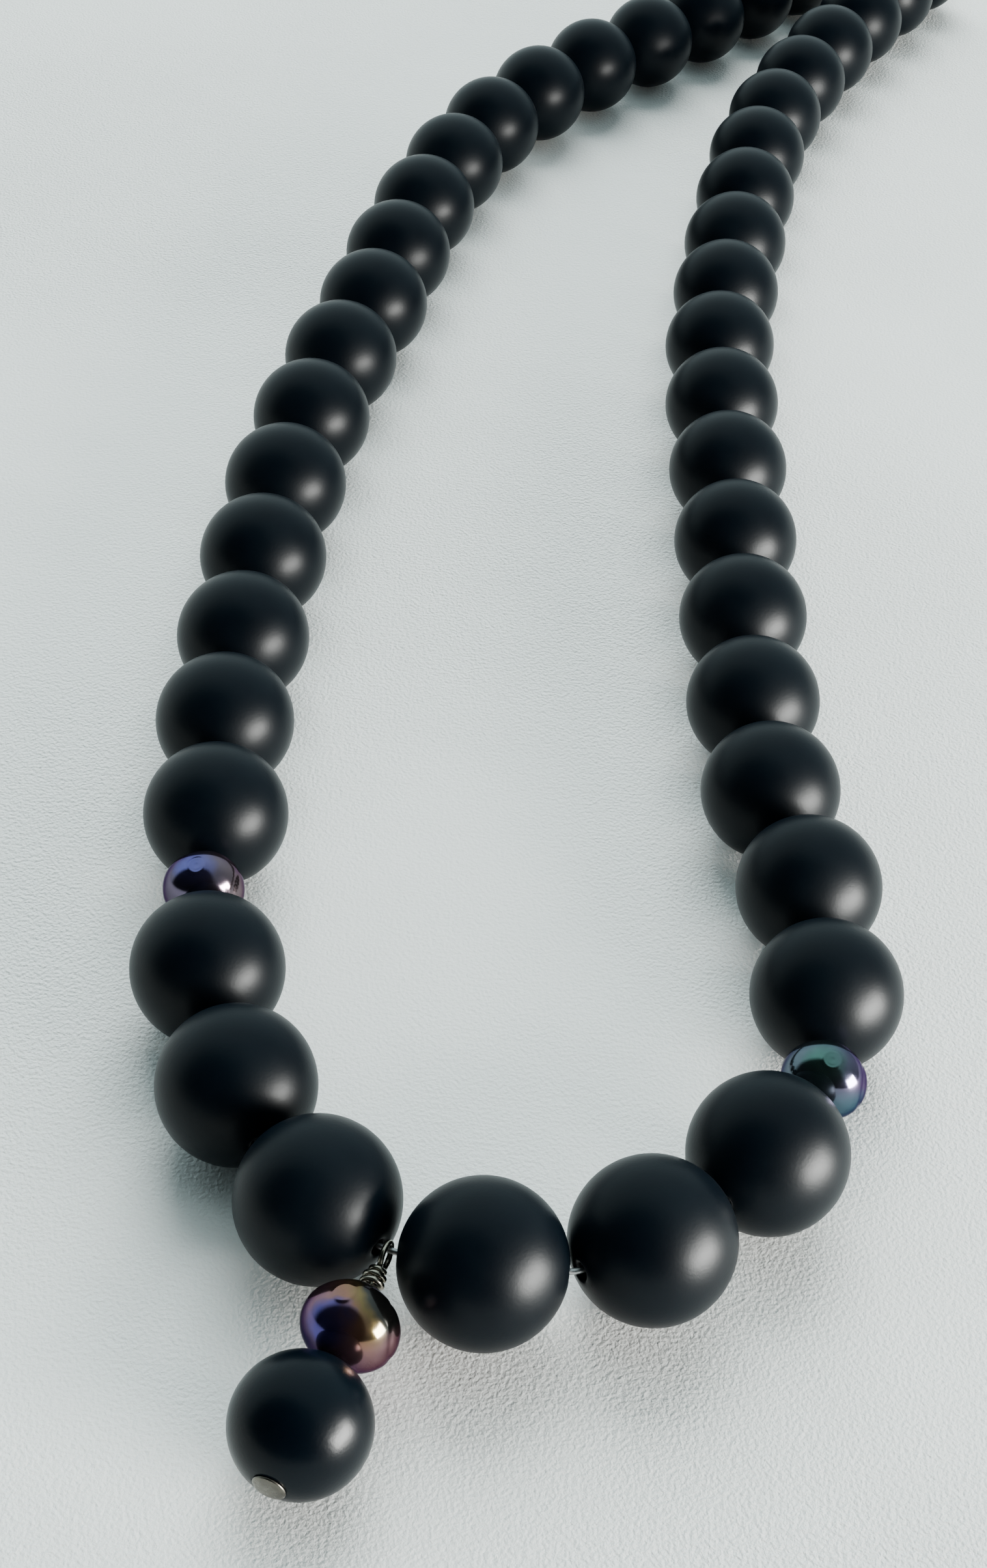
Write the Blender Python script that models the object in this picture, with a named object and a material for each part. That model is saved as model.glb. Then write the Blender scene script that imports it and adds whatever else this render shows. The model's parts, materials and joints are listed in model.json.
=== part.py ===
"""Bead necklace: a strand of round matte stone beads with two button pearls, a wire-wrapped
pearl and bead drop at the front, and a lobster clasp at the back, lying undone on a table.

Z is up and the table is z = 0. The drop lies at the front (-Y), the clasp at the back (+Y).
Each bead hangs on a chain of empties, one at every gap, so that the strand bends gap by gap.
"""

import math

import bmesh
import bpy
from mathutils import Matrix, Vector

MM = 0.001

# Beads and pearls
BEAD_DIAMETER = 9.8 * MM
DROP_BEAD_DIAMETER = 7.9 * MM
SIDE_PEARL_DIAMETER = 5.4 * MM
SIDE_PEARL_LENGTH = 4.2 * MM
DROP_PEARL_DIAMETER = 5.9 * MM
DROP_PEARL_LENGTH = 4.4 * MM
HOLE_RADIUS = 0.5 * MM
BEADS_PER_SIDE = 22
BEADS_BEFORE_PEARL = 3
BEAD_GAP = 0.3 * MM
DROP_GAP = 0.6 * MM
# The strand is pushed together near the drop, and its slack lies further back
TIGHT_GAP = 0.2 * MM
LOOSE_GAP = 0.65 * MM
USUAL_GAP = 0.35 * MM
LAST_TIGHT_BEAD = 6
LAST_LOOSE_BEAD = 10
PEARL_NEAR_GAP = 0.3 * MM
PEARL_FAR_GAP = 0.45 * MM
BEAD_SEGMENTS = 14
BEAD_PROFILE_STEPS = 6

# Stringing wire and crimps
STRAND_WIRE_RADIUS = 0.19 * MM
WIRE_STEP_ASIDE = 0.24 * MM
CRIMP_START = 0.35 * MM
CRIMP_LENGTH = 2.0 * MM
CRIMP_BORE_RADIUS = 0.6 * MM
CRIMP_RADIUS = 0.9 * MM
END_SLOPE = math.radians(20)
WIRE_LOOP_HALF_WIDTH = 1.0 * MM
WIRE_LOOP_START = 3.3 * MM
WIRE_LOOP_CENTRE = 4.6 * MM

# Drop pin: shank with a flat head, a loop round the strand, and wraps below the loop
PIN_WIRE_RADIUS = 0.16 * MM
PIN_HEAD_RADIUS = 0.95 * MM
PIN_HEAD_THICKNESS = 0.3 * MM
PIN_LOOP_RADIUS = 0.9 * MM
PIN_LOOP_FOOT = math.radians(215)
PIN_LOOP_TURN = math.radians(290)
PIN_LOOP_DROP = 0.35 * MM
PIN_WRAP_RADIUS = 0.38 * MM
PIN_WRAP_PITCH = 0.38 * MM
PIN_WRAP_TURNS = 2.5
DROP_BEAD_PLACE = (-9.0 * MM, -10.9 * MM)

# Rings and clasp
END_RING_RADIUS = 2.55 * MM
END_RING_WIRE_RADIUS = 0.45 * MM
END_RING_FAR_HEIGHT = 0.45 * MM
JUMP_RING_RADIUS = 1.9 * MM
JUMP_RING_WIRE_RADIUS = 0.3 * MM
JUMP_RING_HEIGHT = 2.25 * MM
LINK_CLEARANCE = 0.1 * MM
CLASP_THICKNESS = 2.6 * MM
CLASP_EYE_RADIUS = 1.25 * MM
CLASP_EYE_WIRE_RADIUS = 0.42 * MM
CLASP_EYE_AT = -5.4 * MM
CLASP_HOOK_RADIUS = 1.2 * MM
CLASP_HOOK_TAPER = 0.45
LEVER_THICKNESS = 0.8 * MM
LEVER_SLOT = 1.1 * MM
LEVER_SLOT_FLOOR = -0.4 * MM
LEVER_BOSS_RADIUS = 0.75 * MM
LEVER_PIN_RADIUS = 0.4 * MM
LEVER_BORE_RADIUS = 0.5 * MM
LEVER_PIVOT = (-2.4 * MM, 0.9 * MM)
SPRING_WIRE_RADIUS = 0.12 * MM
# Middle line of the clasp's hook, from the block round to the nose, with the clasp's middle at (0, 0)
CLASP_HOOK_MM = [
    (-2.2, 0.2), (-1.2, -1.5), (1.2, -2.4), (3.6, -1.9), (4.9, -0.2), (4.7, 1.5), (3.7, 2.3),
]
# The leaf spring in the same view, from the floor of the slot up to the lever's arm
SPRING_LINE_MM = [(-3.4, 0.0), (-2.3, -0.18), (-1.2, 0.0), (-0.6, 0.5)]

# The line the beads lie along, seen from above with the first right bead at (0, 0):
# from the ring end at the back, round the front, to the clasp end at the back.
LAY_POINTS_MM = [
    (33.5, 211.0), (28.5, 202.0), (22.7, 192.5), (10.5, 175.8), (-0.8, 161.0), (-9.3, 145.0),
    (-14.3, 126.0), (-17.0, 107.5), (-19.6, 93.0), (-21.4, 72.0), (-21.5, 45.0), (-20.6, 35.0),
    (-20.3, 28.0), (-18.8, 20.5), (-15.6, 11.3), (-9.5, 3.2), (0.0, 0.0), (9.7, 2.8),
    (16.0, 9.4), (20.0, 15.8), (20.7, 23.6), (20.0, 33.7), (17.6, 44.0), (16.6, 55.0),
    (15.8, 74.0), (15.0, 95.0), (15.0, 106.0), (16.8, 125.8), (21.0, 153.0), (29.7, 177.5),
    (38.3, 195.5), (43.0, 205.0), (47.5, 214.0),
]
FIRST_BEAD_INDEX = 16
LAY_STEPS = 40
# Steps of the line past the last bead, which give that bead its hole direction
END_LEAD_STEPS = 12
# Centre of the necklace's footprint in the same view, which becomes the origin
FOOTPRINT_CENTRE = (13.76 * MM, 104.41 * MM)

BEAD_HEIGHT = BEAD_DIAMETER / 2
UP = Vector((0, 0, 1))

STONE = ("matte_stone", (0.016, 0.022, 0.025, 1), 0.42, 0.0)
PEARL_BLUE = ("pearl_blue", (0.16, 0.30, 0.33, 1), 0.22, 0.0)
PEARL_VIOLET = ("pearl_violet", (0.25, 0.22, 0.38, 1), 0.22, 0.0)
PEARL_ROSE = ("pearl_rose", (0.33, 0.26, 0.33, 1), 0.2, 0.0)
SILVER = ("silver", (0.78, 0.75, 0.68, 1), 0.22, 1.0)
STEEL_WIRE = ("steel_wire", (0.55, 0.56, 0.57, 1), 0.35, 1.0)


def clear_scene():
    for thing in list(bpy.data.objects):
        bpy.data.objects.remove(thing, do_unlink=True)


def material(look):
    """One Principled material for each look, shared by the pieces that have it."""
    name, colour, roughness, metallic = look
    found = bpy.data.materials.get(name)
    if found:
        return found
    made = bpy.data.materials.new(name)
    made.use_nodes = True
    shader = made.node_tree.nodes["Principled BSDF"]
    shader.inputs["Base Color"].default_value = colour
    shader.inputs["Roughness"].default_value = roughness
    shader.inputs["Metallic"].default_value = metallic
    made.diffuse_color = colour
    return made


def frame_matrix(origin, x_axis, y_axis):
    """A placing matrix from an origin, an X axis and a rough Y axis."""
    x = x_axis.normalized()
    z = x.cross(y_axis).normalized()
    y = z.cross(x)
    turned = Matrix((x, y, z)).transposed().to_4x4()
    return Matrix.Translation(origin) @ turned


def place(thing, world, parent=None):
    """Put an object at a world matrix, under a parent whose own world matrix is kept on it."""
    thing["world"] = [list(row) for row in world]
    if parent is None:
        thing.matrix_local = world
        return thing
    thing.parent = parent
    parent_world = Matrix([list(row) for row in parent["world"]])
    thing.matrix_local = parent_world.inverted() @ world
    return thing


def pivot(name, point, axis, parent=None):
    """An empty on a joint's axis, whose Z is the axis."""
    empty = bpy.data.objects.new(name, None)
    empty.empty_display_size = 2 * MM
    bpy.context.scene.collection.objects.link(empty)
    side = axis.orthogonal()
    world = frame_matrix(point, side, axis.cross(side))
    return place(empty, world, parent)


def add_mesh_object(name, mesh, look, world, parent=None, smooth_angle=40):
    mesh.shade_smooth()
    mesh.set_sharp_from_angle(angle=math.radians(smooth_angle))
    if not mesh.materials:
        mesh.materials.append(material(look))
    thing = bpy.data.objects.new(name, mesh)
    bpy.context.scene.collection.objects.link(thing)
    return place(thing, world, parent)


def finish_bmesh(bm, name):
    bmesh.ops.remove_doubles(bm, verts=bm.verts, dist=0.0005 * MM)
    bmesh.ops.recalc_face_normals(bm, faces=bm.faces)
    mesh = bpy.data.meshes.new(name)
    bm.to_mesh(mesh)
    bm.free()
    return mesh


def turned_mesh(name, profile, segments):
    """A closed profile of (along X, radius) points, spun about X from straight down."""
    bm = bmesh.new()
    verts = [bm.verts.new((along, 0, -radius)) for along, radius in profile]
    edges = [bm.edges.new((a, b)) for a, b in zip(verts, verts[1:] + verts[:1])]
    bmesh.ops.spin(bm, geom=verts + edges, cent=(0, 0, 0), axis=(1, 0, 0),
                   angle=math.tau, steps=segments, use_merge=True)
    return finish_bmesh(bm, name)


def drilled_round_profile(half_length, radius, hole_radius, steps):
    """Half an ellipse from one hole edge to the other. The spin closes it through the hole."""
    edge_angle = math.asin(hole_radius / radius)
    sweep = math.pi - 2 * edge_angle
    angles = [edge_angle + sweep * i / steps for i in range(steps + 1)]
    return [(-half_length * math.cos(a), radius * math.sin(a)) for a in angles]


def drilled_mesh(name, length, diameter):
    """A bead or pearl with its hole along X."""
    profile = drilled_round_profile(length / 2, diameter / 2, HOLE_RADIUS, BEAD_PROFILE_STEPS)
    return turned_mesh(name, profile, BEAD_SEGMENTS)


def tube_mesh(name, points, radius, sides_resolution=2, radii=None):
    """A round tube with filled ends along a line of points, made by a bevelled curve."""
    curve = bpy.data.curves.new(name, "CURVE")
    curve.dimensions = "3D"
    curve.bevel_depth = radius
    curve.bevel_resolution = sides_resolution
    curve.use_fill_caps = True
    spline = curve.splines.new("POLY")
    spline.points.add(len(points) - 1)
    for i, point in enumerate(points):
        spline.points[i].co = (*point, 1)
        if radii:
            spline.points[i].radius = radii[i]
    holder = bpy.data.objects.new(name, curve)
    bpy.context.scene.collection.objects.link(holder)
    evaluated = holder.evaluated_get(bpy.context.evaluated_depsgraph_get())
    mesh = bpy.data.meshes.new_from_object(evaluated)
    bpy.data.objects.remove(holder, do_unlink=True)
    bpy.data.curves.remove(curve)
    bm = bmesh.new()
    bm.from_mesh(mesh)
    bpy.data.meshes.remove(mesh)
    return finish_bmesh(bm, name)


def ring_mesh(name, ring_radius, wire_radius, segments=20, wire_segments=8):
    """A closed ring about Z."""
    bm = bmesh.new()
    angles = [math.tau * i / wire_segments for i in range(wire_segments)]
    verts = [bm.verts.new((ring_radius + wire_radius * math.cos(a), 0, wire_radius * math.sin(a)))
             for a in angles]
    edges = [bm.edges.new((a, b)) for a, b in zip(verts, verts[1:] + verts[:1])]
    bmesh.ops.spin(bm, geom=verts + edges, cent=(0, 0, 0), axis=(0, 0, 1),
                   angle=math.tau, steps=segments, use_merge=True)
    return finish_bmesh(bm, name)


def plate_mesh(name, outline, low, high):
    """A flat plate: an outline in XY, extruded from low to high."""
    bm = bmesh.new()
    face = bm.faces.new([bm.verts.new((x, y, low)) for x, y in outline])
    raised = bmesh.ops.extrude_face_region(bm, geom=[face])
    top = [v for v in raised["geom"] if isinstance(v, bmesh.types.BMVert)]
    bmesh.ops.translate(bm, verts=top, vec=(0, 0, high - low))
    return finish_bmesh(bm, name)


def arc(centre, radius, start_deg, end_deg, steps):
    """Points along an arc in XY."""
    angles = [math.radians(start_deg + (end_deg - start_deg) * i / steps) for i in range(steps + 1)]
    return [(centre[0] + radius * math.cos(a), centre[1] + radius * math.sin(a)) for a in angles]


def smooth_line(points, steps):
    """A dense line through hand-set points, with a Bezier between each two."""
    points = [Vector(p) for p in points]
    tangents = []
    for i in range(len(points)):
        before = points[max(i - 1, 0)]
        after = points[min(i + 1, len(points) - 1)]
        tangents.append((after - before).normalized())
    line = []
    for i in range(len(points) - 1):
        reach = (points[i + 1] - points[i]).length / 3
        for step in range(steps):
            t = step / steps
            a, d = points[i], points[i + 1]
            b = a + tangents[i] * reach
            c = d - tangents[i + 1] * reach
            s = 1 - t
            line.append(a * s ** 3 + b * 3 * t * s * s + c * 3 * t * t * s + d * t ** 3)
    line.append(points[-1])
    return line


def boolean(target, cutter, operation):
    """Apply a Boolean and drop the cutter. Both objects sit at the world's origin."""
    modifier = target.modifiers.new(operation, "BOOLEAN")
    modifier.operation = operation
    modifier.solver = "EXACT"
    modifier.object = cutter
    evaluated = target.evaluated_get(bpy.context.evaluated_depsgraph_get())
    joined = bpy.data.meshes.new_from_object(evaluated)
    target.modifiers.remove(modifier)
    target.data = joined
    bpy.data.objects.remove(cutter, do_unlink=True)
    return target


def scratch(mesh):
    """A working object at the origin for the Booleans."""
    thing = bpy.data.objects.new("scratch", mesh)
    bpy.context.scene.collection.objects.link(thing)
    return thing


def merged_mesh(name, mesh, others, cutters=()):
    """One mesh from a Boolean union of several, less the cutters."""
    target = scratch(mesh)
    for other in others:
        boolean(target, scratch(other), "UNION")
    for cutter in cutters:
        boolean(target, scratch(cutter), "DIFFERENCE")
    bm = bmesh.new()
    bm.from_mesh(target.data)
    bpy.data.objects.remove(target, do_unlink=True)
    return finish_bmesh(bm, name)


# ---------------------------------------------------------------- where each bead lies

class Stone:
    """One bead or pearl on the strand: its centre, hole direction and half length."""

    def __init__(self, name, kind, half_length):
        self.name = name
        self.kind = kind
        self.half_length = half_length
        self.centre = None
        self.along = None

    def hole_end(self, way):
        return self.centre + self.along * self.half_length * way


def step_along(line, index, position, distance, way):
    """Walk the line from a position until the straight distance is reached."""
    i = index
    while True:
        nxt = line[i + way]
        if (nxt - position).length >= distance:
            break
        i += way
    a, b = line[i], line[i + way]
    low, high = 0.0, 1.0
    for _ in range(30):
        middle = (low + high) / 2
        if (a.lerp(b, middle) - position).length < distance:
            low = middle
        else:
            high = middle
    return i, a.lerp(b, low)


def side_stones(side):
    """Beads and the one pearl of a side, counted from the drop outwards."""
    stones = []
    for number in range(1, BEADS_PER_SIDE + 1):
        stones.append(Stone(f"bead_{side}_{number:02d}", "bead", BEAD_DIAMETER / 2))
        if number == BEADS_BEFORE_PEARL:
            stones.append(Stone(f"pearl_{side}", "pearl", SIDE_PEARL_LENGTH / 2))
    return stones


def strand_gap(before, stone):
    """The gap between two neighbours, by how many beads from the drop the outer one is."""
    if stone.kind == "pearl":
        return PEARL_NEAR_GAP
    if before.kind == "pearl":
        return PEARL_FAR_GAP
    side, number = stone.name.split("_")[1:]
    count = int(number) - (1 if side == "right" else 0)
    if count <= LAST_TIGHT_BEAD:
        return TIGHT_GAP
    return LOOSE_GAP if count <= LAST_LOOSE_BEAD else USUAL_GAP


def lay_strand():
    """Place every stone along the line. The first right bead is at the line's (0, 0)."""
    points = [(x * MM - FOOTPRINT_CENTRE[0], y * MM - FOOTPRINT_CENTRE[1], BEAD_HEIGHT)
              for x, y in LAY_POINTS_MM]
    line = smooth_line(points, LAY_STEPS)
    start = FIRST_BEAD_INDEX * LAY_STEPS
    left = side_stones("left")
    right = side_stones("right")
    right[0].centre = line[start].copy()
    index = start
    for before, stone in zip(right, right[1:]):
        distance = before.half_length + strand_gap(before, stone) + stone.half_length
        index, stone.centre = step_along(line, index, before.centre, distance, 1)
    right_end = line[index + END_LEAD_STEPS]
    index = start
    for before, stone in zip([right[0]] + left, left):
        gap = DROP_GAP if before is right[0] else strand_gap(before, stone)
        distance = before.half_length + gap + stone.half_length
        index, stone.centre = step_along(line, index, before.centre, distance, -1)
    left_end = line[index - END_LEAD_STEPS]
    strand = left[::-1] + right
    centres = [left_end] + [stone.centre for stone in strand] + [right_end]
    for stone, before, after in zip(strand, centres, centres[2:]):
        incoming = (stone.centre - before).normalized()
        outgoing = (after - stone.centre).normalized()
        stone.along = (incoming + outgoing).normalized()
    return left, right, strand


def gap_point(before, after):
    """Where the stringing wire crosses the gap between two neighbours of the strand."""
    return (before.hole_end(1) + after.hole_end(-1)) / 2


# ---------------------------------------------------------------- strand

def stone_world(stone):
    return frame_matrix(stone.centre, stone.along, UP.cross(stone.along))


def build_stones(left, right):
    """Each bead and pearl on its own pivot at the gap nearer the drop.

    Pivots turn about the vertical and about the level cross axis by turns, so that the
    strand swings outwards at one gap and lifts at the next.
    """
    bead_mesh = drilled_mesh("bead", BEAD_DIAMETER, BEAD_DIAMETER)
    pearl_mesh = drilled_mesh("button_pearl", SIDE_PEARL_LENGTH, SIDE_PEARL_DIAMETER)
    meshes = {"bead": bead_mesh, "pearl": pearl_mesh}
    last_pivots = {}
    for side, stones in (("left", left), ("right", right)):
        parent = None
        inner = right[0]
        gap_number = 0
        for stone in stones:
            if stone is right[0]:
                add_mesh_object(stone.name, bead_mesh, STONE, stone_world(stone))
                continue
            gap_number += 1
            if side == "left":
                point = gap_point(stone, inner)
                outward = -(inner.centre - stone.centre).normalized()
            else:
                point = gap_point(inner, stone)
                outward = (stone.centre - inner.centre).normalized()
            lifts = gap_number % 2 == 1
            if lifts:
                axis = outward.cross(UP)
            else:
                axis = UP if side == "left" else -UP
            parent = pivot(f"pivot_{stone.name}", point, axis, parent)
            if stone.kind == "bead":
                look = STONE
            else:
                look = PEARL_VIOLET if side == "left" else PEARL_BLUE
            mesh = meshes[stone.kind]
            if stone.kind == "pearl":
                mesh = pearl_mesh.copy()
                mesh.materials.clear()
            add_mesh_object(stone.name, mesh, look, stone_world(stone), parent)
            inner = stone
        last_pivots[side] = parent
    return last_pivots


def end_frame(stone, way):
    """A frame at the strand's last hole: X along the crimp, tilted down, and Y level."""
    level = (stone.along * way).normalized()
    sideways = UP.cross(level)
    along = level * math.cos(END_SLOPE) - UP * math.sin(END_SLOPE)
    return frame_matrix(stone.hole_end(way), along, sideways)


def wire_end_route(frame, flat):
    """Out through the crimp, round a loop, and back into the crimp, in the frame's XY or XZ."""
    crimp_end = CRIMP_START + CRIMP_LENGTH
    out = [
        (CRIMP_START, -WIRE_STEP_ASIDE),
        (crimp_end, -WIRE_STEP_ASIDE),
        (WIRE_LOOP_START, -WIRE_LOOP_HALF_WIDTH * 0.7),
    ]
    turn = [(WIRE_LOOP_CENTRE + WIRE_LOOP_HALF_WIDTH * math.cos(a), WIRE_LOOP_HALF_WIDTH * math.sin(a))
            for a in [math.radians(d) for d in range(-90, 91, 20)]]
    back = [
        (WIRE_LOOP_START, WIRE_LOOP_HALF_WIDTH * 0.7),
        (crimp_end, WIRE_STEP_ASIDE),
        (CRIMP_START + WIRE_STEP_ASIDE, WIRE_STEP_ASIDE),
    ]
    route = out + turn + back
    if flat:
        return [frame @ Vector((x, y, 0)) for x, y in route]
    return [frame @ Vector((x, 0, y)) for x, y in route]


def build_strand_wire(strand):
    """One wire through every hole, with a crimped loop at each end."""
    left_frame = end_frame(strand[0], -1)
    right_frame = end_frame(strand[-1], 1)
    route = wire_end_route(left_frame, False)[::-1]
    for stone in strand:
        route.append(stone.hole_end(-1))
        route.append(stone.hole_end(1))
    route += wire_end_route(right_frame, True)
    mesh = tube_mesh("strand_wire", route, STRAND_WIRE_RADIUS)
    add_mesh_object("strand_wire", mesh, STEEL_WIRE, Matrix.Identity(4))
    return left_frame, right_frame


def build_crimp(name, frame, parent):
    start = CRIMP_START
    end = CRIMP_START + CRIMP_LENGTH
    profile = [
        (start, CRIMP_BORE_RADIUS),
        (start, CRIMP_RADIUS),
        (end, CRIMP_RADIUS),
        (end, CRIMP_BORE_RADIUS),
    ]
    add_mesh_object(name, turned_mesh(name, profile, 12), SILVER, frame, parent)


# ---------------------------------------------------------------- drop

def pin_route(head_x, neck_x, loop_x):
    """The pin's wire in its own frame: X runs up the pin, and the loop lies in XZ."""
    wrap_top = neck_x + PIN_WRAP_PITCH * PIN_WRAP_TURNS
    shank = [(head_x, 0, 0), (neck_x, 0, 0), (wrap_top, 0, 0)]
    turn = [PIN_LOOP_FOOT + PIN_LOOP_TURN * i / 16 for i in range(17)]
    loop = [(loop_x + PIN_LOOP_RADIUS * math.cos(a), 0, PIN_LOOP_RADIUS * math.sin(a)) for a in turn]
    wraps = []
    steps = int(PIN_WRAP_TURNS * 12)
    for i in range(steps + 1):
        a = math.tau * PIN_WRAP_TURNS * i / steps + math.radians(90)
        wraps.append((wrap_top - PIN_WRAP_PITCH * PIN_WRAP_TURNS * i / steps,
                      -PIN_WRAP_RADIUS * math.cos(a), PIN_WRAP_RADIUS * math.sin(a)))
    return shank + loop + wraps


def build_drop(left, right):
    """The pin hangs by its loop from the stringing wire. The pearl and the bead turn on it."""
    hang = gap_point(left[0], right[0])
    across = (right[0].centre - left[0].centre).normalized()
    bead_centre = Vector((*DROP_BEAD_PLACE, DROP_BEAD_DIAMETER / 2)) - Vector((*FOOTPRINT_CENTRE, 0))
    up_pin = (hang - bead_centre).normalized()
    swing = pivot("pivot_drop", hang, -across)
    frame = frame_matrix(hang, up_pin, across)

    reach = (hang - bead_centre).length
    bead_at = -reach
    pearl_at = bead_at + DROP_BEAD_DIAMETER / 2 + BEAD_GAP + DROP_PEARL_LENGTH / 2
    neck_at = pearl_at + DROP_PEARL_LENGTH / 2 + PIN_WIRE_RADIUS + BEAD_GAP / 2
    head_at = bead_at - DROP_BEAD_DIAMETER / 2 - BEAD_GAP / 2
    loop_at = -PIN_LOOP_DROP

    wire = tube_mesh("pin_wire", pin_route(head_at, neck_at, loop_at), PIN_WIRE_RADIUS)
    head_outside = head_at - PIN_HEAD_THICKNESS
    head_inside = head_at + PIN_HEAD_THICKNESS * 0.1
    head_profile = [
        (head_outside, 0.0),
        (head_outside, PIN_HEAD_RADIUS),
        (head_inside, PIN_HEAD_RADIUS),
        (head_inside, 0.0),
    ]
    head = turned_mesh("pin_head", head_profile, 20)
    pin = merged_mesh("head_pin", wire, [head])
    add_mesh_object("head_pin", pin, SILVER, frame, swing)

    pearl_centre = frame @ Vector((pearl_at, 0, 0))
    pearl_pivot = pivot("pivot_pearl_drop", pearl_centre, up_pin, swing)
    pearl = drilled_mesh("drop_pearl", DROP_PEARL_LENGTH, DROP_PEARL_DIAMETER)
    add_mesh_object("pearl_drop", pearl, PEARL_ROSE, frame_matrix(pearl_centre, up_pin, across), pearl_pivot)
    bead_pivot = pivot("pivot_bead_drop", bead_centre, up_pin, swing)
    bead = drilled_mesh("drop_bead", DROP_BEAD_DIAMETER, DROP_BEAD_DIAMETER)
    add_mesh_object("bead_drop", bead, STONE, frame_matrix(bead_centre, up_pin, across), bead_pivot)


# ---------------------------------------------------------------- rings and clasp

def inside_wire_loop(frame, ring_wire_radius):
    """Centre of a ring's wire where it hangs in the far end of a stringing wire loop."""
    loop_inside = WIRE_LOOP_CENTRE + WIRE_LOOP_HALF_WIDTH - STRAND_WIRE_RADIUS
    return frame @ Vector((loop_inside - LINK_CLEARANCE - ring_wire_radius, 0, 0))


def build_end_ring(frame, parent):
    """The plain ring that the clasp hooks into, leaning on the table from the wire loop."""
    near = inside_wire_loop(frame, END_RING_WIRE_RADIUS)
    level = frame.to_3x3() @ Vector((1, 0, 0))
    level.z = 0
    level.normalize()
    fall = near.z - END_RING_FAR_HEIGHT
    slope = math.asin(fall / (2 * END_RING_RADIUS))
    along = level * math.cos(slope) - UP * math.sin(slope)
    sideways = UP.cross(level)
    swing = pivot("pivot_end_ring", near, -sideways, parent)
    world = frame_matrix(near + along * END_RING_RADIUS, along, sideways)
    add_mesh_object("end_ring", ring_mesh("end_ring", END_RING_RADIUS, END_RING_WIRE_RADIUS),
                    SILVER, world, swing)


def build_jump_ring(frame, parent):
    """The upright ring that joins the strand's right loop to the clasp's eye."""
    near = inside_wire_loop(frame, JUMP_RING_WIRE_RADIUS)
    level = frame.to_3x3() @ Vector((1, 0, 0))
    level.z = 0
    level.normalize()
    slope = math.asin((near.z - JUMP_RING_HEIGHT) / JUMP_RING_RADIUS)
    along = level * math.cos(slope) - UP * math.sin(slope)
    sideways = UP.cross(level)
    swing = pivot("pivot_jump_ring", near, -sideways, parent)
    centre = near + along * JUMP_RING_RADIUS
    world = frame_matrix(centre, along, along.cross(sideways))
    add_mesh_object("jump_ring", ring_mesh("jump_ring", JUMP_RING_RADIUS, JUMP_RING_WIRE_RADIUS),
                    SILVER, world, swing)
    fall = JUMP_RING_HEIGHT - CLASP_THICKNESS / 2
    crossing = centre + level * math.sqrt(JUMP_RING_RADIUS ** 2 - fall ** 2)
    crossing.z = CLASP_THICKNESS / 2
    return crossing, level, swing


def clasp_body_mesh():
    """Hook, hinge block and eye, in XY. The nose curls round at +X and the eye is at -X."""
    hook_points = smooth_line([(x * MM, y * MM, 0) for x, y in CLASP_HOOK_MM], 3)
    last = len(hook_points) - 1
    radii = [1.0 - CLASP_HOOK_TAPER * i / last for i in range(last + 1)]
    hook = tube_mesh("hook", hook_points, CLASP_HOOK_RADIUS, 2, radii)
    half = CLASP_THICKNESS / 2
    block_outline = (
        arc((-2.9 * MM, 0.3 * MM), 1.7 * MM, 90, 270, 8)
        + arc((-1.7 * MM, -0.3 * MM), 1.1 * MM, -90, 0, 4)
        + arc((-1.6 * MM, 1.0 * MM), 1.0 * MM, 0, 90, 4)
    )
    block = plate_mesh("block", block_outline, -half, half)
    eye = ring_mesh("eye", CLASP_EYE_RADIUS, CLASP_EYE_WIRE_RADIUS, 16)
    eye.transform(Matrix.Translation((CLASP_EYE_AT, 0, 0)))
    slot_back, slot_front, slot_top = -3.9 * MM, 1.5 * MM, 4.0 * MM
    slot_outline = [
        (slot_back, LEVER_SLOT_FLOOR),
        (slot_front, LEVER_SLOT_FLOOR),
        (slot_front, slot_top),
        (slot_back, slot_top),
    ]
    slot = plate_mesh("slot", slot_outline, -LEVER_SLOT / 2, LEVER_SLOT / 2)
    bore = plate_mesh("bore", arc(LEVER_PIVOT, LEVER_BORE_RADIUS, 0, 330, 11), -2 * half, 2 * half)
    return merged_mesh("clasp_body", hook, [block, eye], [slot, bore])


def lever_mesh():
    """The gate: a boss round the pin, an arm to the nose, and a thumb tab."""
    outline = (
        arc(LEVER_PIVOT, LEVER_BOSS_RADIUS, 180, 290, 5)
        + [(-0.6 * MM, 0.75 * MM), (3.1 * MM, 0.85 * MM)]
        + arc((3.15 * MM, 1.15 * MM), 0.3 * MM, -80, 60, 3)
        + [(0.6 * MM, 1.75 * MM), (-0.2 * MM, 2.1 * MM)]
        + arc((-0.9 * MM, 3.1 * MM), 0.5 * MM, -10, 160, 5)
        + [(-1.9 * MM, 1.75 * MM)]
        + arc(LEVER_PIVOT, LEVER_BOSS_RADIUS, 100, 160, 3)
    )
    plate = plate_mesh("lever", outline, -LEVER_THICKNESS / 2, LEVER_THICKNESS / 2)
    bore_outline = arc(LEVER_PIVOT, LEVER_BORE_RADIUS, 0, 330, 11)
    bore = plate_mesh("lever_bore", bore_outline, -LEVER_THICKNESS, LEVER_THICKNESS)
    return merged_mesh("clasp_lever", plate, [], [bore])


def spring_mesh():
    """A leaf of wire from the block's floor up to the lever's arm."""
    points = [(x * MM, y * MM, 0) for x, y in SPRING_LINE_MM]
    return tube_mesh("clasp_spring", smooth_line(points, 3), SPRING_WIRE_RADIUS, 1)


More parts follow.
